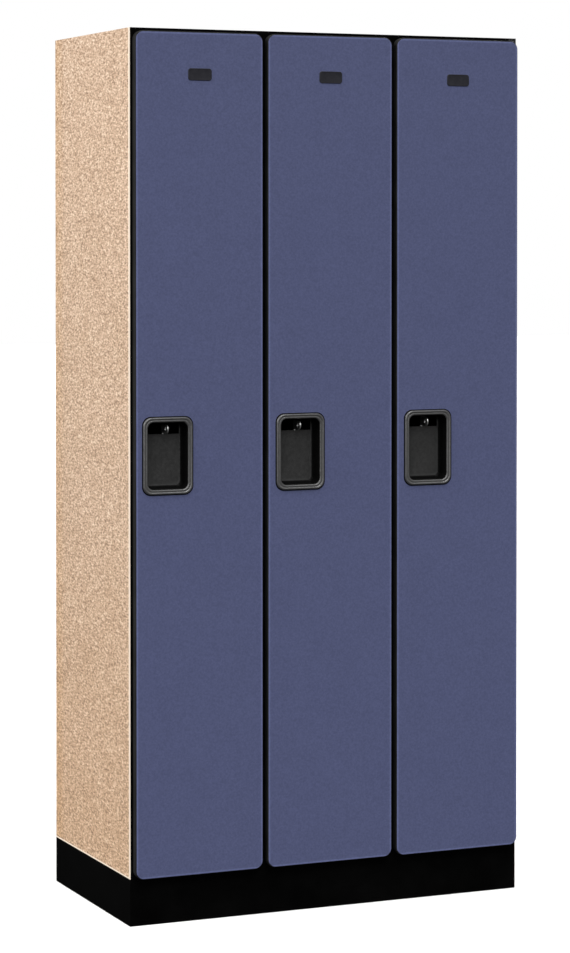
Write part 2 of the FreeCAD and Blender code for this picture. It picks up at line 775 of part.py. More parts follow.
def hinge_leaves(number, screws):
    """Three door-side hinge parts: two ears in the notch, a web and a leaf on the door's back."""
    leaves = []
    pin_x = f"{door_right(number)} - pin_in"
    for level in LEVELS:
        name = f"leaf_{number}_{level}"
        web_x = f"{door_right(number)} - notch_wide"
        low = f"{level}_level - notch_tall / 2 + notch_play"
        tall = "notch_tall - 2 * notch_play"
        front = "door_front + notch_front + notch_play"
        web = box(name + "_web", ("leaf_thick", f"door_rear + leaf_thick - ({front})", tall),
                  (web_x, front, low))
        leaf = box(name + "_back", ("leaf_wide + leaf_thick", "leaf_thick", tall),
                   (f"{web_x} - leaf_wide", "door_rear", low))
        ears = []
        for end, z in (("low", low), ("high", f"{low} + {tall} - ear")):
            size = ("notch_wide - ear_edge", "ear_back - notch_front - notch_play", "ear")
            ears.append(box(f"{name}_{end}_ear", size, (web_x, front, z)))
        blank = fuse(name + "_blank", [web, leaf] + ears)
        start = (pin_x, "pin_y", f"{low} - over")
        hole = cylinder(name + "_hole", "pin_radius", "notch_tall + 2 * over", start, UP)
        leaves.append(cut(name, blank, [hole, screws]))
    keep(group(f"door_{number}_hinge_leaves", leaves), f"door_{number}_hinge_leaves")


def hinge_pins(number):
    pins = []
    pin_x = f"{door_right(number)} - pin_in"
    for level in LEVELS:
        start = (pin_x, "pin_y", f"{level}_level - notch_tall / 2 + notch_play")
        tall = "notch_tall - 2 * notch_play"
        pins.append(cylinder(f"pin_{number}_{level}", "pin_radius", tall, start, UP))
    keep(group(f"door_{number}_hinge_pins", pins), f"door_{number}_hinge_pins")


def bumpers(number):
    """Two soft pads on the back of a door's free edge, which meet the top and floor panels."""
    pads = []
    x = f"{door_left(number)} + bumper_in"
    for end, z in (("low", "door_low + bumper_inset"), ("high", "door_low + door_tall - bumper_inset")):
        name = f"bumper_{number}_{end}"
        pads.append(cylinder(name, "bumper_radius", "bumper_thick", (x, "door_rear", z), BACK))
    keep(group(f"door_{number}_bumpers", pads), f"door_{number}_bumpers")


def door(number):
    screws = door_screws(number)
    door_panel(number, screws)
    door_face(number, screws)
    number_plate(number)
    pull_cup(number, screws)
    hinge_leaves(number, screws)
    hinge_pins(number)
    bumpers(number)


# ---------------------------------------------------------------- the cabinet

def build():
    screws = carcass_screws()
    back = back_screws()
    pegs = shelf_pegs()
    arm_screws = hinge_plate_screws()
    eye_fixings = eye_screws()
    hook_fixings = hook_screws()
    plinth()
    carcass(screws, back, pegs, arm_screws, eye_fixings, hook_fixings)
    for number in LOCKERS:
        inside(number)
        padlock_eye(number, eye_fixings)
    rod_sockets()
    hinge_plates(arm_screws)
    hinge_arms(arm_screws)
    for number in LOCKERS:
        door(number)
    doc.recompute()


def check():
    for obj in doc.Objects:
        if "Invalid" in obj.State or "Error" in obj.State:
            raise RuntimeError(f"{obj.Name} did not compute: {obj.State}")
    for obj in sub_parts:
        if obj.Shape.isNull() or not obj.Shape.isValid() or not obj.Shape.Solids:
            raise RuntimeError(f"{obj.Label} has no valid solid")


def write():
    os.makedirs("parts", exist_ok=True)
    for obj in sub_parts:
        obj.Shape.exportStep(f"parts/{obj.Label}.step")
    whole = Part.makeCompound([obj.Shape for obj in sub_parts]).BoundBox
    print(f"{len(sub_parts)} sub-parts, {whole.XLength:.2f} x {whole.YLength:.2f} x {whole.ZLength:.2f} mm")
    print(f"X {whole.XMin:.3f} {whole.XMax:.3f}  Y {whole.YMin:.3f} {whole.YMax:.3f}  Z {whole.ZMin:.3f}")


build()
check()
write()
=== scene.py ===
import json
import math

import bmesh
import bpy
from mathutils import Matrix, Vector


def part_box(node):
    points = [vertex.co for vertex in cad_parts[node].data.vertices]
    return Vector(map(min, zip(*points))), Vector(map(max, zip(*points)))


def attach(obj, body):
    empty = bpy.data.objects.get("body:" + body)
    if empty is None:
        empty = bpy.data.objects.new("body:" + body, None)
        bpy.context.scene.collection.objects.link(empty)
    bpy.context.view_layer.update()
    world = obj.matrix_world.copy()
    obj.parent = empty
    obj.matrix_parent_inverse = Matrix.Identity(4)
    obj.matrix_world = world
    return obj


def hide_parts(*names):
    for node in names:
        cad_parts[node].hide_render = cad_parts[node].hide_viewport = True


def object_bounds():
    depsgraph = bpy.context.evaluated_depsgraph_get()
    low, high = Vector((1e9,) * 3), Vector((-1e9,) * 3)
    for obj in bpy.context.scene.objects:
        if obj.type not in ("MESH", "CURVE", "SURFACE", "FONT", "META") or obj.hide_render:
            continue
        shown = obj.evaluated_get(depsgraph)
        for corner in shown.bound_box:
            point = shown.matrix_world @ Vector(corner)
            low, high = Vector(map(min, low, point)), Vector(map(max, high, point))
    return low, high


# The looks of a three-wide locker cabinet: a maple laminate side, blue-grey laminate doors with black
# edges, recessed pulls with padlock eyes, and a black carcass on a black plinth. Lengths are in metres.

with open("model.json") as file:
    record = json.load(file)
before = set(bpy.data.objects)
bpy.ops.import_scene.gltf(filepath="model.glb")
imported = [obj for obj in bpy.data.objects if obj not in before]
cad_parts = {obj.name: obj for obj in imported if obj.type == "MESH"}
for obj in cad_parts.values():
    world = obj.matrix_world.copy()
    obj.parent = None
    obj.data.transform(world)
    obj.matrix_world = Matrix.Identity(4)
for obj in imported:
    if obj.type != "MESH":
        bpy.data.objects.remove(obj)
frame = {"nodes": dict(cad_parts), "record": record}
cad_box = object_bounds()

MM = 0.001
DOORS = (1, 2, 3)
CABINET = "cabinet"
# How dark a door's laminate is beside the painted highlight along its edge.
EDGE_HIGHLIGHT_FADE = 0.70
# World brightness from straight down (0) to straight up (1).
WORLD_STOPS = ((0.0, (0.06, 0.06, 0.06)), (0.46, (0.12, 0.12, 0.12)), (0.56, (0.5, 0.5, 0.5)),
               (1.0, (0.8, 0.8, 0.8)))

# Where the lamps aim: at the cabinet's middle, or at the X of its maple side.
MIDDLE = (0.0, 0.0, 1.0)
WEST = -0.46
# Broad suns: (name, place, target, strength, angle in degrees). The wash lights the maple side, and
# the rear one the back and the right side.
SUNS = (
    ("key", (-0.4, -3.0, 4.4), MIDDLE, 1.35, 20),
    ("top", (0.3, -1.6, 5.4), MIDDLE, 1.1, 24),
    ("fill", (-2.6, -4.0, 2.2), MIDDLE, 0.7, 30),
    ("wash", (-4.0, -0.5, 2.6), (WEST, 0.0, 1.0), 1.15, 40),
    ("rear", (3.4, 3.6, 2.4), MIDDLE, 1.6, 30),
)
# The length of each side of the softbox.
SOFTBOX = 1.6
FLOOR_HALF = 30.0
# The floor lies a hair under the plinth, so that the two don't share a surface.
FLOOR_DROP = 0.4 * MM


# ---------------------------------------------------------------- camera, light and floor

def add_camera():
    """The view from the left of the front, at about three quarters of the cabinet's height."""
    camera = bpy.data.objects.new("camera", bpy.data.cameras.new("camera"))
    bpy.context.scene.collection.objects.link(camera)
    yaw = math.radians(23.607)
    pitch = math.radians(1.012)
    camera.location = (-2.6543, -6.0645, 1.4966)
    camera.rotation_euler = (math.pi / 2 - pitch, 0, -yaw)
    camera.data.sensor_width = 36.0
    camera.data.lens = 109.87
    camera.data.shift_y = -0.2046
    camera.data.clip_end = 100.0
    bpy.context.scene.camera = camera


def aim(lamp, place, target):
    """Stands the lamp at place and turns it to the target."""
    lamp.location = place
    lamp.rotation_euler = (Vector(target) - Vector(place)).to_track_quat("-Z", "Y").to_euler()


def add_lamp(name, kind, place, target, power):
    light = bpy.data.lights.new(name, kind)
    light.energy = power
    lamp = bpy.data.objects.new(name, light)
    bpy.context.scene.collection.objects.link(lamp)
    aim(lamp, place, target)
    return light


def add_world():
    """A white studio: bright above and around, and dark below the horizon so that undersides stay dark."""
    world = bpy.data.worlds.new("studio")
    bpy.context.scene.world = world
    world.use_nodes = True
    tree = world.node_tree
    background = tree.nodes["Background"]
    place = tree.nodes.new("ShaderNodeTexCoord")
    spans = tree.nodes.new("ShaderNodeMapRange")
    spans.inputs["From Min"].default_value = -1.0
    tree.links.new(split_axes(tree, place.outputs["Generated"])["Z"], spans.inputs["Value"])
    level = ramp(tree, spans.outputs["Result"], WORLD_STOPS)
    seen = tree.nodes.new("ShaderNodeLightPath")
    mix = tree.nodes.new("ShaderNodeMix")
    mix.data_type = "RGBA"
    tree.links.new(seen.outputs["Is Camera Ray"], mix.inputs["Factor"])
    tree.links.new(level, mix.inputs["A"])
    mix.inputs["B"].default_value = (1.0, 1.0, 1.0, 1.0)
    tree.links.new(mix.outputs["Result"], background.inputs["Color"])


def add_light():
    """The suns, and a softbox that makes the maple side a little brighter at the top."""
    add_world()
    for name, place, target, power, angle in SUNS:
        sun = add_lamp(name, "SUN", place, target, power)
        sun.angle = math.radians(angle)
    side = add_lamp("side", "AREA", (-3.6, -0.4, 3.2), (WEST, 0.0, 1.4), 50.0)
    side.shape = "RECTANGLE"
    side.size = SOFTBOX
    side.size_y = SOFTBOX
    bpy.context.scene.view_settings.view_transform = "Standard"


def add_floor():
    """A plain white floor that neither lights the cabinet from below nor shows in its gloss."""
    half = FLOOR_HALF
    corners = [(-half, -half, 0), (half, -half, 0), (half, half, 0), (-half, half, 0)]
    mesh = bpy.data.meshes.new("floor")
    mesh.from_pydata(corners, [], [(0, 1, 2, 3)])
    floor = bpy.data.objects.new("floor", mesh)
    bpy.context.scene.collection.objects.link(floor)
    floor.location.z = -FLOOR_DROP
    material, _, shader = new_material("floor_pale")
    shader.inputs["Base Color"].default_value = (0.95, 0.95, 0.95, 1.0)
    shader.inputs["Roughness"].default_value = 0.9
    shader.inputs["Specular IOR Level"].default_value = 0.0
    mesh.materials.append(material)
    floor.visible_glossy = False
    floor.visible_diffuse = False


# ---------------------------------------------------------------- node helpers

def new_material(name):
    material = bpy.data.materials.new(name)
    material.use_nodes = True
    tree = material.node_tree
    return material, tree, tree.nodes["Principled BSDF"]


def object_space(tree, stretch=(1.0, 1.0, 1.0)):
    """Points in the piece's own space, in metres, scaled by stretch."""
    place = tree.nodes.new("ShaderNodeTexCoord")
    mapping = tree.nodes.new("ShaderNodeMapping")
    mapping.inputs["Scale"].default_value = stretch
    tree.links.new(place.outputs["Object"], mapping.inputs["Vector"])
    return mapping.outputs["Vector"]


def noise(tree, vector, size, detail=3.0, rough=0.55):
    """Noise whose features are about size metres across."""
    node = tree.nodes.new("ShaderNodeTexNoise")
    node.inputs["Scale"].default_value = 1.0 / size
    node.inputs["Detail"].default_value = detail
    node.inputs["Roughness"].default_value = rough
    tree.links.new(vector, node.inputs["Vector"])
    return node.outputs["Fac"]


def cells(tree, vector, size):
    """Distance to the nearest cell centre, for cells about size metres across."""
    node = tree.nodes.new("ShaderNodeTexVoronoi")
    node.inputs["Scale"].default_value = 1.0 / size
    tree.links.new(vector, node.inputs["Vector"])
    return node.outputs["Distance"]


def ramp(tree, value, stops):
    """A colour read off the value: stops are (value, colour)."""
    node = tree.nodes.new("ShaderNodeValToRGB")
    elements = node.color_ramp.elements
    while len(elements) < len(stops):
        elements.new(0.5)
    for element, (position, colour) in zip(elements, stops):
        element.position = position
        element.color = (*colour, 1.0)
    tree.links.new(value, node.inputs["Fac"])
    return node.outputs["Color"]


def spread(tree, value, low, high):
    """The value's middle band, 0.3 to 0.7, spread from low to high."""
    node = tree.nodes.new("ShaderNodeMapRange")
    node.inputs["From Min"].default_value = 0.3
    node.inputs["From Max"].default_value = 0.7
    node.inputs["To Min"].default_value = low
    node.inputs["To Max"].default_value = high
    tree.links.new(value, node.inputs["Value"])
    return node.outputs["Result"]


def split_axes(tree, space):
    node = tree.nodes.new("ShaderNodeSeparateXYZ")
    tree.links.new(space, node.inputs["Vector"])
    return node.outputs


def by_depth(tree, space, stops):
    """A grey that changes along Y: stops are (millimetres behind the door's front face, level)."""
    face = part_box("door_1_face")[0].y
    first, last = stops[0][0], stops[-1][0]
    node = tree.nodes.new("ShaderNodeMapRange")
    node.inputs["From Min"].default_value = face + first * MM
    node.inputs["From Max"].default_value = face + last * MM
    tree.links.new(split_axes(tree, space)["Y"], node.inputs["Value"])
    shares = [((at - first) / (last - first), grey(level)) for at, level in stops]
    return ramp(tree, node.outputs["Result"], shares)


def times(tree, colour, amount):
    """The colour multiplied by another one."""
    node = tree.nodes.new("ShaderNodeMix")
    node.data_type = "RGBA"
    node.blend_type = "MULTIPLY"
    node.inputs["Factor"].default_value = 1.0
    tree.links.new(colour, node.inputs["A"])
    tree.links.new(amount, node.inputs["B"])
    return node.outputs["Result"]


def arithmetic(tree, operation, *values):
    """One sum on sockets and plain numbers."""
    node = tree.nodes.new("ShaderNodeMath")
    node.operation = operation
    for socket, value in zip(node.inputs, values):
        if isinstance(value, (int, float)):
            socket.default_value = value
        else:
            tree.links.new(value, socket)
    return node.outputs["Value"]


def add_bump(tree, shader, height, depth, strength=1.0):
    node = tree.nodes.new("ShaderNodeBump")
    node.inputs["Strength"].default_value = strength
    node.inputs["Distance"].default_value = depth
    tree.links.new(height, node.inputs["Height"])
    tree.links.new(node.outputs["Normal"], shader.inputs["Normal"])


def grey(level):
    return (level, level, level)


def tint(colour, factor):
    return tuple(channel * factor for channel in colour)


def inside_edge(tree, space, node):
    """Distance in metres from a point to the nearest side of the node's upright outline."""
    low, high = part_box(node)
    axes = split_axes(tree, space)
    distances = []
    for axis, first, last in (("X", low.x, high.x), ("Z", low.z, high.z)):
        from_middle = arithmetic(tree, "SUBTRACT", axes[axis], (first + last) / 2)
        size = arithmetic(tree, "ABSOLUTE", from_middle)
        distances.append(arithmetic(tree, "SUBTRACT", (last - first) / 2, size))
    return arithmetic(tree, "MINIMUM", *distances)


# ---------------------------------------------------------------- materials

def blue_laminate(number):
    """Matt blue-grey laminate: a pebbled press finish, faint mottling and a painted highlight along the
    edge.
    """
    material, tree, shader = new_material(f"blue_laminate_{number}")
    base = (0.0745, 0.0855, 0.169)
    space = object_space(tree)
    pebble = noise(tree, space, 4.0 * MM, 2.0)
    mottle = noise(tree, space, 60 * MM, 3.0)
    full = tint(base, 1.0 / EDGE_HIGHLIGHT_FADE)
    colour = ramp(tree, pebble, ((0.3, tint(full, 0.88)), (0.7, tint(full, 1.12))))
    colour = times(tree, colour, ramp(tree, mottle, ((0.3, grey(0.96)), (0.7, grey(1.0)))))
    # Painted highlight: the face is paler within about 3 to 4 mm of its edge.
    edge = inside_edge(tree, space, f"door_{number}_face")
    reach = arithmetic(tree, "DIVIDE", edge, 5 * MM)
    colour = times(tree, colour, ramp(tree, reach, ((0.55, grey(1.0)), (0.8, grey(EDGE_HIGHLIGHT_FADE)))))
    tree.links.new(colour, shader.inputs["Base Color"])
    tree.links.new(spread(tree, noise(tree, space, 180 * MM), 0.50, 0.62), shader.inputs["Roughness"])
    shader.inputs["Specular IOR Level"].default_value = 0.18
    add_bump(tree, shader, pebble, 0.05 * MM)
    return material


def maple_laminate():
    """Tan maple laminate: flecks along the cabinet's depth, two pale edges, a warm rear edge and painted
    shade towards the bottom.
    """
    material, tree, shader = new_material("maple_laminate")
    base = (0.66, 0.462, 0.322)
    bark = (0.31, 0.195, 0.125)
    cream = (0.98, 0.80, 0.63)
    low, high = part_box("left_side_laminate")
    space = object_space(tree)
    along = object_space(tree, (1.0, 0.42, 1.0))
    fleck = noise(tree, along, 3.9 * MM, 1.5, 0.5)
    fine = noise(tree, along, 2.0 * MM, 1.0, 0.5)
    cloud = noise(tree, space, 130 * MM, 2.0)
    stops = ((0.28, bark), (0.45, tint(base, 0.92)), (0.55, tint(base, 1.06)), (0.72, cream))
    colour = ramp(tree, fleck, stops)
    colour = times(tree, colour, ramp(tree, fine, ((0.3, grey(0.90)), (0.7, grey(1.0)))))
    colour = times(tree, colour, ramp(tree, cloud, ((0.3, (0.96, 0.95, 0.93)), (0.7, grey(1.0)))))

    axes = split_axes(tree, space)
    from_rear = arithmetic(tree, "SUBTRACT", high.y, axes["Y"])
    warm = arithmetic(tree, "DIVIDE", from_rear, 60 * MM)
    colour = times(tree, colour, ramp(tree, warm, ((0.3, (0.98, 0.93, 0.84)), (1.0, grey(1.0)))))
    from_front = arithmetic(tree, "SUBTRACT", axes["Y"], low.y)
    from_bottom = arithmetic(tree, "SUBTRACT", axes["Z"], low.z)
    # Painted shade: the laminate grows darker and warmer towards the bottom, over the lowest 0.8 m.
    bottom_shade_share = arithmetic(tree, "DIVIDE", from_bottom, 0.8)
    colour = times(tree, colour, ramp(tree, bottom_shade_share, ((0.0, (0.98, 0.93, 0.86)), (1.0, grey(1.0)))))
    rim = arithmetic(tree, "MINIMUM", arithmetic(tree, "DIVIDE", from_front, 10 * MM),
                     arithmetic(tree, "DIVIDE", from_bottom, 4.5 * MM))
    pale = tree.nodes.new("ShaderNodeMix")
    pale.data_type = "RGBA"
    tree.links.new(ramp(tree, rim, ((0.6, grey(0.0)), (0.9, grey(1.0)))), pale.inputs["Factor"])
    pale.inputs["A"].default_value = (0.93, 0.80, 0.66, 1.0)
    tree.links.new(colour, pale.inputs["B"])
    tree.links.new(pale.outputs["Result"], shader.inputs["Base Color"])

    tree.links.new(spread(tree, cloud, 0.48, 0.58), shader.inputs["Roughness"])
    shader.inputs["Specular IOR Level"].default_value = 0.2
    add_bump(tree, shader, fleck, 0.04 * MM)
    return material


def black_board(name, dark, pale, shine):
    """Black melamine board with a fine pore and a little dust in it."""
    material, tree, shader = new_material(name)
    space = object_space(tree)
    pore = noise(tree, space, 1.6 * MM, 2.0)
    dust = noise(tree, space, 90 * MM, 4.0, 0.6)
    colour = ramp(tree, dust, ((0.35, grey(dark)), (0.75, grey(pale))))
    tree.links.new(colour, shader.inputs["Base Color"])
    tree.links.new(spread(tree, dust, 0.52, 0.66), shader.inputs["Roughness"])
    shader.inputs["Specular IOR Level"].default_value = shine
    add_bump(tree, shader, pore, 0.05 * MM)
    return material


def door_core():
    """Black routed door edge and back: satin, with a faint rub along it."""
    material, tree, shader = new_material("door_core")
    space = object_space(tree)
    grain = noise(tree, object_space(tree, (1.0, 1.0, 0.25)), 2.0 * MM, 3.0)
    rub = noise(tree, space, 45 * MM, 3.0)
    colour = ramp(tree, rub, ((0.35, grey(0.013)), (0.75, grey(0.021))))
    tree.links.new(colour, shader.inputs["Base Color"])
    tree.links.new(spread(tree, rub, 0.36, 0.50), shader.inputs["Roughness"])
    shader.inputs["Specular IOR Level"].default_value = 0.06
    add_bump(tree, shader, grain, 0.04 * MM)
    return material


def pull_plastic():
    """Moulded black plastic: a satin bezel with a painted shadow line at its foot, cup walls and fillet
    painted near-black as shade, and a pebbled panel at the cup's back.
    """
    material, tree, shader = new_material("pull_plastic")
    space = object_space(tree)
    pebble = cells(tree, space, 2.4 * MM)
    wear = noise(tree, space, 7 * MM, 4.0, 0.65)
    # Painted light and shade by depth: the lowest 0.8 mm of the bezel is a painted contact shadow, and the
    # walls and fillet down to 28.8 mm are painted shade.
    tone = by_depth(tree, space, ((-4.6, 0.064), (-1.6, 0.050), (-0.8, 0.003), (28.8, 0.003), (29.8, 0.032),
                                  (30.5, 0.034)))
    colour = times(tree, tone, ramp(tree, wear, ((0.3, grey(0.60)), (0.7, grey(1.0)))))
    tree.links.new(colour, shader.inputs["Base Color"])
    # The specular level follows the same depths: strong on the bezel, and almost none on the walls painted
    # as shade.
    shine = by_depth(tree, space, ((-4.6, 0.95), (-1.6, 0.6), (-0.8, 0.05), (28.8, 0.03), (29.8, 0.30),
                                   (30.5, 0.30)))
    tree.links.new(shine, shader.inputs["Specular IOR Level"])
    tree.links.new(spread(tree, wear, 0.30, 0.42), shader.inputs["Roughness"])
    add_bump(tree, shader, pebble, 0.28 * MM, 0.8)
    return material


def plate_plastic():
    """Engraving laminate, blank: black with a faint brushed face."""
    material, tree, shader = new_material("plate_plastic")
    brush = noise(tree, object_space(tree, (0.1, 1.0, 1.0)), 0.8 * MM, 2.0)
    patch = noise(tree, object_space(tree), 12 * MM, 2.0)
    colour = ramp(tree, patch, ((0.3, (0.0135, 0.0135, 0.0175)), (0.7, (0.0205, 0.0205, 0.0255))))
    tree.links.new(colour, shader.inputs["Base Color"])
    tree.links.new(spread(tree, brush, 0.32, 0.46), shader.inputs["Roughness"])
    shader.inputs["Specular IOR Level"].default_value = 0.2
    add_bump(tree, shader, brush, 0.02 * MM)
    return material


def metal(name, colour, rough, streak=(1.0, 1.0, 1.0), depth=0.02 * MM):
    """Plated metal with fine scratches that lie along the axis with the smallest streak."""
    material, tree, shader = new_material(name)
    scratch = noise(tree, object_space(tree, streak), 0.7 * MM, 3.0)
    stain = noise(tree, object_space(tree), 14 * MM, 3.0)
    tone = ramp(tree, stain, ((0.3, tint(colour, 0.86)), (0.7, colour)))
    tree.links.new(tone, shader.inputs["Base Color"])
    tree.links.new(spread(tree, scratch, rough * 0.8, rough * 1.3), shader.inputs["Roughness"])
    shader.inputs["Metallic"].default_value = 1.0
    add_bump(tree, shader, scratch, depth)
    return material


def rubber():
    material, tree, shader = new_material("rubber")
    skin = noise(tree, object_space(tree), 1.2 * MM, 2.0)
    tone = ramp(tree, skin, ((0.3, grey(0.28)), (0.7, grey(0.34))))
    tree.links.new(tone, shader.inputs["Base Color"])
    tree.links.new(spread(tree, skin, 0.5, 0.65), shader.inputs["Roughness"])
    shader.inputs["Subsurface Weight"].default_value = 0.05
    add_bump(tree, shader, skin, 0.03 * MM)
    return material


def make_materials():
    """A material for each of the record's slots, each door's face, and a lighter copy of the black board,
    painted light, for the boards inside and behind.
    """
    materials = {
        "maple_laminate": maple_laminate(),
        "black_board": black_board("black_board", 0.0009, 0.0022, 0.012),
        "door_core": door_core(),
        "pull_plastic": pull_plastic(),
        "plate_plastic": plate_plastic(),
        "zinc_steel": metal("zinc_steel", (0.78, 0.78, 0.77), 0.30, (1.0, 1.0, 0.2)),
        "nickel_steel": metal("nickel_steel", (0.60, 0.58, 0.55), 0.32, (1.0, 1.0, 0.2)),
        "chrome": metal("chrome", (0.74, 0.74, 0.75), 0.12, (0.2, 1.0, 1.0), 0.005 * MM),
        "black_screw": metal("black_screw", (0.035, 0.035, 0.037), 0.42),
        "rubber": rubber(),
    }
    for number in DOORS:
        materials[f"door_{number}_face"] = blue_laminate(number)
    # Painted light: the back panel, the right side and the hat shelves get a lighter, shinier copy of the
    # black board, so that they read as lit.
    inner = black_board("painted_lit_board", 0.012, 0.022, 0.10)
    for name in ("back_panel", "right_side", "hat_shelf_1", "hat_shelf_2", "hat_shelf_3"):
        materials[name] = inner
    return materials


# ---------------------------------------------------------------- mesh helpers

def new_piece(name, mesh, material, body):
    mesh.materials.clear()
    mesh.materials.append(material)
    piece = bpy.data.objects.new(name, mesh)
    bpy.context.scene.collection.objects.link(piece)
    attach(piece, body)
    return piece


def smooth(mesh, angle):
    """Shades the mesh smooth, except along edges sharper than angle in degrees."""
    mesh.polygons.foreach_set("use_smooth", [True] * len(mesh.polygons))
    mesh.set_sharp_from_angle(angle=math.radians(angle))
    mesh.update()


def rounded_ring(half_x, half_z, radius, y, corner_steps=8):
    """The points of a rounded rectangle at depth y, counter-clockwise seen from the front."""
    points = []
    for corner, (side_x, side_z) in enumerate(((1, 1), (-1, 1), (-1, -1), (1, -1))):
        for step in range(corner_steps + 1):
            angle = math.pi / 2 * (corner + step / corner_steps)
            points.append(Vector((
                side_x * (half_x - radius) + radius * math.cos(angle),
                y,
                side_z * (half_z - radius) + radius * math.sin(angle),
            )))
    return points


def circle(radius, level, sides):
    """The points of a circle about +Z."""
    angles = [2 * math.pi * side / sides for side in range(sides)]
    return [Vector((radius * math.cos(angle), radius * math.sin(angle), level)) for angle in angles]


def add_skin(shape, rings):
    """Adds a closed skin over rings of equal length, capped at the first and last."""
    loops = [[shape.verts.new(point) for point in ring] for ring in rings]
    for first, second in zip(loops, loops[1:]):
        for index in range(len(first)):
            after = (index + 1) % len(first)
            shape.faces.new((first[index], first[after], second[after], second[index]))
    shape.faces.new(loops[0])
    shape.faces.new(loops[-1])


def to_mesh(shape, name):
    mesh = bpy.data.meshes.new(name)
    shape.to_mesh(mesh)
    shape.free()
    return mesh


def loft(rings, centre):
    """A closed mesh over rings of equal length, moved to centre."""
    shape = bmesh.new()
    add_skin(shape, [[point + centre for point in ring] for ring in rings])
    bmesh.ops.recalc_face_normals(shape, faces=shape.faces)
    return to_mesh(shape, "loft")


def cut_box(mesh, low, high):
    """The mesh with a box taken out of it."""
    shape = bmesh.new()
    bmesh.ops.create_cube(shape, size=1.0)
    size = Vector(high) - Vector(low)
    middle = (Vector(high) + Vector(low)) / 2
    for vert in shape.verts:
        vert.co = Vector(vert.co[axis] * size[axis] + middle[axis] for axis in range(3))
    cutter = bpy.data.objects.new("cutter", to_mesh(shape, "cutter"))
    holder = bpy.data.objects.new("holder", mesh)
    for obj in (cutter, holder):
        bpy.context.scene.collection.objects.link(obj)
    modifier = holder.modifiers.new("cut", "BOOLEAN")
    modifier.operation = "DIFFERENCE"
    modifier.solver = "EXACT"
    modifier.object = cutter
    bpy.context.view_layer.update()
    evaluated = holder.evaluated_get(bpy.context.evaluated_depsgraph_get())
    result = bpy.data.meshes.new_from_object(evaluated)
    bpy.data.objects.remove(holder)
    bpy.data.objects.remove(cutter)
    return result


def outline_spline(curve, points):
    """Adds one closed outline to a flat curve."""
    spline = curve.splines.new("POLY")
    spline.points.add(len(points) - 1)
    for slot_point, (x, y) in zip(spline.points, points):
        slot_point.co = (x, y, 0.0, 1.0)
    spline.use_cyclic_u = True


def plate_mesh(outlines, thickness, edge, matrix):
    """A flat plate with rounded edges: the first outline is its rim, and the others are holes."""
    curve = bpy.data.curves.new("plate", "CURVE")
    curve.dimensions = "2D"
    curve.fill_mode = "BOTH"
    curve.extrude = thickness / 2 - edge
    curve.bevel_depth = edge
    curve.bevel_resolution = 2
    curve.offset = -edge
    for points in outlines:
        outline_spline(curve, points)
    holder = bpy.data.objects.new("plate", curve)
    bpy.context.scene.collection.objects.link(holder)
    bpy.context.view_layer.update()
    evaluated = holder.evaluated_get(bpy.context.evaluated_depsgraph_get())
    mesh = bpy.data.meshes.new_from_object(evaluated)
    bpy.data.objects.remove(holder)
    bpy.data.curves.remove(curve)
    mesh.transform(matrix)
    return mesh


def arc(centre, radius, start, stop, steps=8):
    """Points on an arc from start to stop degrees."""
    angles = [math.radians(start + (stop - start) * step / steps) for step in range(steps + 1)]
    x, y = centre
    return [(x + radius * math.cos(angle), y + radius * math.sin(angle)) for angle in angles]


def join_meshes(name, meshes):
    shape = bmesh.new()
    for mesh in meshes:
        shape.from_mesh(mesh)
    return to_mesh(shape, name)


def islands(node):
    """The box of each separate solid of a CAD node, as (lowest corner, highest corner)."""
    shape = bmesh.new()
    shape.from_mesh(frame["nodes"][node].data)
    bmesh.ops.remove_doubles(shape, verts=shape.verts, dist=0.001 * MM)
    seen = set()
    boxes = []
    for start in shape.verts:
        if start.index in seen:
            continue
        stack = [start]
        seen.add(start.index)
        members = []
        while stack:
            vert = stack.pop()
            members.append(vert.co.copy())
            for edge in vert.link_edges:
                other = edge.other_vert(vert)
                if other.index not in seen:
                    seen.add(other.index)
                    stack.append(other)
        low = Vector(min(point[axis] for point in members) for axis in range(3))
        high = Vector(max(point[axis] for point in members) for axis in range(3))
        boxes.append((low, high))
    shape.free()
    return boxes


# ---------------------------------------------------------------- pulls

# The radius of the bezel's corners, and how much of each step in from the rim comes off it.
PULL_CORNER = 20.0
PULL_TAPER = 0.5
# Steps across the bezel, from its rim to its mouth: (distance in from the rim, height above the door).
BEZEL_STEPS = (
    (0.0, 0.0), (0.0, 0.4), (1.9, 0.5), (2.1, 1.8), (2.7, 3.2), (3.7, 4.2), (4.8, 4.4), (5.9, 4.1),
    (6.8, 3.4), (7.4, 2.9), (8.1, 2.9), (8.8, 3.4), (9.8, 3.7), (11.0, 3.4), (12.0, 2.5), (12.7, 1.2),
    (13.0, 0.0),
)
# Steps along the outside of the cup, from its back: (distance in from the rim, distance from the back).
SHELL_STEPS = ((19.0, 0.0), (13.2, 1.5), (10.0, 5.0))
# The window at the top of the cup's back, from the middle of the pull on the door's face.
WINDOW_HALF = 38.0
WINDOW_LOW = 45.0
WINDOW_HIGH = 68.5
WINDOW_FRONT = 26.0
WINDOW_REAR = 40.0
# Steps down the cup: (distance in from the rim, depth behind the door's face).
CUP_STEPS = (
    (13.1, 3.0), (13.3, 10.0), (13.8, 18.0), (14.8, 23.8), (16.8, 27.6), (19.8, 29.5), (23.5, 30.0),
)


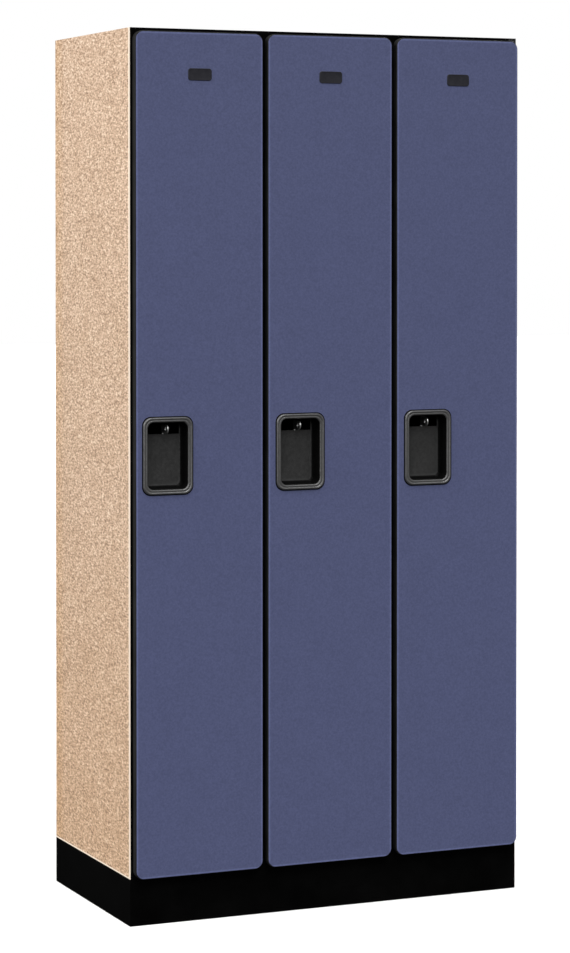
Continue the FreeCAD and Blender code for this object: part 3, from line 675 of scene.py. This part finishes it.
def pull_mesh(number):
    """One moulding: the cup's outside, its bezel and its inside, with the eye's window cut out."""
    low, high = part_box(f"door_{number}_pull")
    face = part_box(f"door_{number}_face")[0].y
    centre = Vector(((low.x + high.x) / 2, face, (low.z + high.z) / 2))
    half_x = (high.x - low.x) / 2
    half_z = (high.z - low.z) / 2

    def ring(inset, y):
        radius = PULL_CORNER * MM - inset * PULL_TAPER
        return rounded_ring(half_x - inset, half_z - inset, radius, y)

    rear = high.y - face
    rings = [ring(inset * MM, rear - ahead * MM) for inset, ahead in SHELL_STEPS]
    rings.append(ring(SHELL_STEPS[-1][0] * MM, 0.0))
    rings += [ring(inset * MM, -rise * MM) for inset, rise in BEZEL_STEPS]
    rings += [ring(inset * MM, depth * MM) for inset, depth in CUP_STEPS]
    mesh = loft(rings, centre)
    window_low = Vector((-WINDOW_HALF, WINDOW_FRONT, WINDOW_LOW)) * MM
    window_high = Vector((WINDOW_HALF, WINDOW_REAR, WINDOW_HIGH)) * MM
    return cut_box(mesh, centre + window_low, centre + window_high)


def add_pulls(materials):
    for number in DOORS:
        mesh = pull_mesh(number)
        smooth(mesh, angle=38)
        piece = new_piece(f"pull_{number}", mesh, materials["pull_plastic"], f"door_{number}")
        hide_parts(f"door_{number}_pull")


# ---------------------------------------------------------------- padlock eyes

# Depths are measured from the eye's nose.
EYE = {"thick": 3.0, "edge": 0.5, "tall": 19.5, "leg": 31.0, "web": 34.0, "foot_tall": 26.0, "nose": 9.0,
       "hole": 4.8, "hole_back": 10.5, "bend": 1.5}


def eye_mesh(number):
    """A bent steel strap: an upright eye with a round nose, a leg behind the pull, a web and a foot."""
    low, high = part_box(f"padlock_eye_{number}")
    size = {name: length * MM for name, length in EYE.items()}
    thick = size["thick"]
    edge = size["edge"]
    nose = size["nose"]
    leg_y = low.y + size["leg"]
    web_y = low.y + size["web"]
    web_rear = web_y + thick
    foot_top = low.z + size["foot_tall"]
    eye_low = high.z - size["tall"]
    eye_middle = high.z - size["tall"] / 2

    # The upright plate, drawn with its length along x and its height along y, then stood in YZ.
    rim = arc((low.y + nose, high.z - nose), nose, 90, 180)
    rim += arc((low.y + nose, eye_low + nose), nose, 180, 270)
    rim += [(leg_y, eye_low), (leg_y, low.z), (web_rear, low.z), (web_rear, high.z)]
    ring = arc((low.y + size["hole_back"], eye_middle), size["hole"], 0, 345, 23)
    stand = Matrix(((0, 0, 1, high.x - thick / 2), (1, 0, 0, 0), (0, 1, 0, 0), (0, 0, 0, 1)))
    plate = plate_mesh([rim, ring], thick, edge, stand)

    # The web and foot, drawn from above with a bend between them.
    inner = size["bend"]
    outer = inner + thick
    corner = (low.x + outer, web_y + outer)
    strap = [(high.x - edge, web_rear), (high.x - edge, web_y)]
    strap += arc(corner, outer, 270, 180)
    strap += [(low.x, high.y), (low.x + thick, high.y)]
    strap += arc(corner, inner, 180, 270)
    level = Matrix.Translation((0, 0, (low.z + foot_top) / 2))
    web = plate_mesh([strap], foot_top - low.z, edge, level)
    return join_meshes("eye", [plate, web])


def add_eyes(materials):
    for number in DOORS:
        mesh = eye_mesh(number)
        smooth(mesh, angle=35)
        piece = new_piece(f"eye_{number}", mesh, materials["zinc_steel"], CABINET)
        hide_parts(f"padlock_eye_{number}")


# ---------------------------------------------------------------- number plates

# Steps over a plate, from its rim to its middle: (distance in from the rim, height above the door).
PLATE_STEPS = ((0.0, 0.0), (0.0, 0.7), (0.25, 1.15), (0.8, 1.4), (1.5, 1.45), (1.9, 1.3), (2.4, 1.25))
# The radius of a plate's corners, and how much of each step in from the rim comes off it.
PLATE_CORNER = 6.0
PLATE_TAPER = 0.9


def add_number_plates(materials):
    for number in DOORS:
        low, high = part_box(f"door_{number}_number_plate")
        centre = Vector(((low.x + high.x) / 2, high.y, (low.z + high.z) / 2))
        half_x = (high.x - low.x) / 2
        half_z = (high.z - low.z) / 2
        rings = []
        for inset, rise in PLATE_STEPS:
            corner = (PLATE_CORNER - inset * PLATE_TAPER) * MM
            rings.append(rounded_ring(half_x - inset * MM, half_z - inset * MM, corner, -rise * MM))
        mesh = loft(rings, centre)
        smooth(mesh, angle=50)
        piece = new_piece(f"number_plate_{number}", mesh, materials["plate_plastic"], f"door_{number}")
        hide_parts(f"door_{number}_number_plate")


# ---------------------------------------------------------------- screws

HEAD_RADIUS = 4.0 * MM
HEAD_SIDES = 20
# The cross recess, as shares of the head's radius: half its length and half its width.
ARM_SHARE = 0.55
SLOT_SHARE = 0.11
PAN_RISE = 2.2 * MM
PAN_RECESS = 1.2 * MM
FLUSH_THICK = 0.5 * MM
FLUSH_RECESS = 0.9 * MM
# Steps over a head: (share of its radius, share of its height).
PAN_STEPS = ((1.0, -0.02), (1.0, 0.35), (0.88, 0.72), (0.6, 0.95), (0.25, 1.0))
FLUSH_STEPS = ((1.0, -0.4), (1.0, 0.0), (0.6, 0.0), (0.25, 0.0))


def head_mesh(rise, tall, recess, steps):
    """A screw head about +Z with a cross recess, whose top is at rise above the surface."""
    rings = [circle(HEAD_RADIUS * share, tall * level, HEAD_SIDES) for share, level in steps]
    mesh = loft(rings, Vector())
    arm = HEAD_RADIUS * ARM_SHARE
    slot_half = HEAD_RADIUS * SLOT_SHARE
    top = rise + 1 * MM
    bottom = rise - recess
    mesh = cut_box(mesh, (-arm, -slot_half, bottom), (arm, slot_half, top))
    return cut_box(mesh, (-slot_half, -arm, bottom), (slot_half, arm, top))


def pan_head():
    return head_mesh(PAN_RISE, PAN_RISE, PAN_RECESS, PAN_STEPS)


def flush_head():
    return head_mesh(0.0, FLUSH_THICK, FLUSH_RECESS, FLUSH_STEPS)


def facing(direction):
    return Vector(direction).to_track_quat("Z", "Y").to_matrix().to_4x4()


def outer_end(low, high, direction):
    """The middle of the face of a box that looks in that direction."""
    middle = (low + high) / 2
    for axis in range(3):
        if direction[axis] > 0:
            middle[axis] = high[axis]
        elif direction[axis] < 0:
            middle[axis] = low[axis]
    return middle


def screw_group(name, node, body, slot, materials, way):
    """A head on every screw of a CAD node, looking the way that way gives; shanks stay out of sight."""
    pan = slot == "nickel_steel"
    head = pan_head() if pan else flush_head()
    rise = PAN_RISE if pan else 0.0
    shape = bmesh.new()
    for low, high in islands(node):
        direction = Vector(way(low, high))
        base = outer_end(low, high, direction) - direction * rise
        copy = head.copy()
        copy.transform(Matrix.Translation(base) @ facing(direction))
        shape.from_mesh(copy)
        bpy.data.meshes.remove(copy)
    mesh = to_mesh(shape, name)
    smooth(mesh, angle=40)
    piece = new_piece(name, mesh, materials[slot], body)
    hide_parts(node)


def always(direction):
    return lambda low, high: direction


def add_screws(materials):
    """The carcass and back screws lie flush and are black; the others have pan heads."""
    top_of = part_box("top_panel")[1].z
    floor_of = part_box("floor_panel")[0].z
    east = cad_box[1].x
    near = 1 * MM

    def carcass_way(low, high):
        if high.z > top_of - near:
            return (0, 0, 1)
        if low.z < floor_of + near:
            return (0, 0, -1)
        return (1, 0, 0) if high.x > east - near else (-1, 0, 0)

    groups = [
        ("carcass_screw_heads", "carcass_screws", CABINET, "black_screw", carcass_way),
        ("back_screw_heads", "back_screws", CABINET, "black_screw", always((0, 1, 0))),
        ("hinge_arm_screw_heads", "hinge_arm_screws", CABINET, "nickel_steel", always((-1, 0, 0))),
        ("eye_screw_heads", "padlock_eye_screws", CABINET, "nickel_steel", always((1, 0, 0))),
        ("hook_screw_heads", "coat_hook_screws", CABINET, "nickel_steel", always((0, -1, 0))),
    ]
    for number in DOORS:
        groups.append((f"door_{number}_screw_heads", f"door_{number}_screws", f"door_{number}",
                       "nickel_steel", always((0, 1, 0))))
    for name, node, body, slot, way in groups:
        screw_group(name, node, body, slot, materials, way)


# ---------------------------------------------------------------- bumpers

# Steps over a bumper: (share of its radius, share of its height).
BUMPER_STEPS = ((1.0, 0.0), (1.0, 0.3), (0.93, 0.6), (0.75, 0.85), (0.45, 0.98), (0.15, 1.0))
BUMPER_SIDES = 24


def add_bumpers(materials):
    """A small dome for each soft pad."""
    for number in DOORS:
        shape = bmesh.new()
        for low, high in islands(f"door_{number}_bumpers"):
            base = Vector(((low.x + high.x) / 2, low.y, (low.z + high.z) / 2))
            radius = (high.x - low.x) / 2
            rise = high.y - low.y
            rings = []
            for share, level in BUMPER_STEPS:
                ring = circle(radius * share, rise * level, BUMPER_SIDES)
                rings.append([base + Vector((point.x, point.z, point.y)) for point in ring])
            add_skin(shape, rings)
        bmesh.ops.recalc_face_normals(shape, faces=shape.faces)
        mesh = to_mesh(shape, "bumpers")
        smooth(mesh, angle=45)
        piece = new_piece(f"bumper_pads_{number}", mesh, materials["rubber"], f"door_{number}")
        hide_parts(f"door_{number}_bumpers")


# ---------------------------------------------------------------- CAD nodes that stay

def dress_nodes(materials):
    """Gives every CAD node its own material or its slot's, and shades its curved faces smooth."""
    for entry in frame["record"]["subparts"]:
        node = frame["nodes"][entry["node"]]
        node.data.materials.clear()
        own = entry["node"] if entry["node"] in materials else entry["material_slot"]
        node.data.materials.append(materials[own])
        smooth(node.data, angle=30)


SKIN_ROUND = 0.25 * MM
BOARD_ROUND = 0.8 * MM
FACE_ROUND = 0.9 * MM


def soften_edges():
    """A small round on the laminates' and boards' edges, which catches the light."""
    rounds = {"left_side_laminate": SKIN_ROUND}
    for name in ("plinth_front", "plinth_back", "plinth_left", "plinth_right"):
        rounds[name] = BOARD_ROUND
    for number in DOORS:
        rounds[f"hat_shelf_{number}"] = BOARD_ROUND
        rounds[f"door_{number}_face"] = FACE_ROUND
    for name, width in rounds.items():
        modifier = frame["nodes"][name].modifiers.new("edge_round", "BEVEL")
        modifier.width = width
        modifier.segments = 2
        modifier.limit_method = "ANGLE"
        modifier.angle_limit = math.radians(60)


add_camera()
add_light()
add_floor()
slot_materials = make_materials()
dress_nodes(slot_materials)
soften_edges()
add_pulls(slot_materials)
add_eyes(slot_materials)
add_number_plates(slot_materials)
add_screws(slot_materials)
add_bumpers(slot_materials)
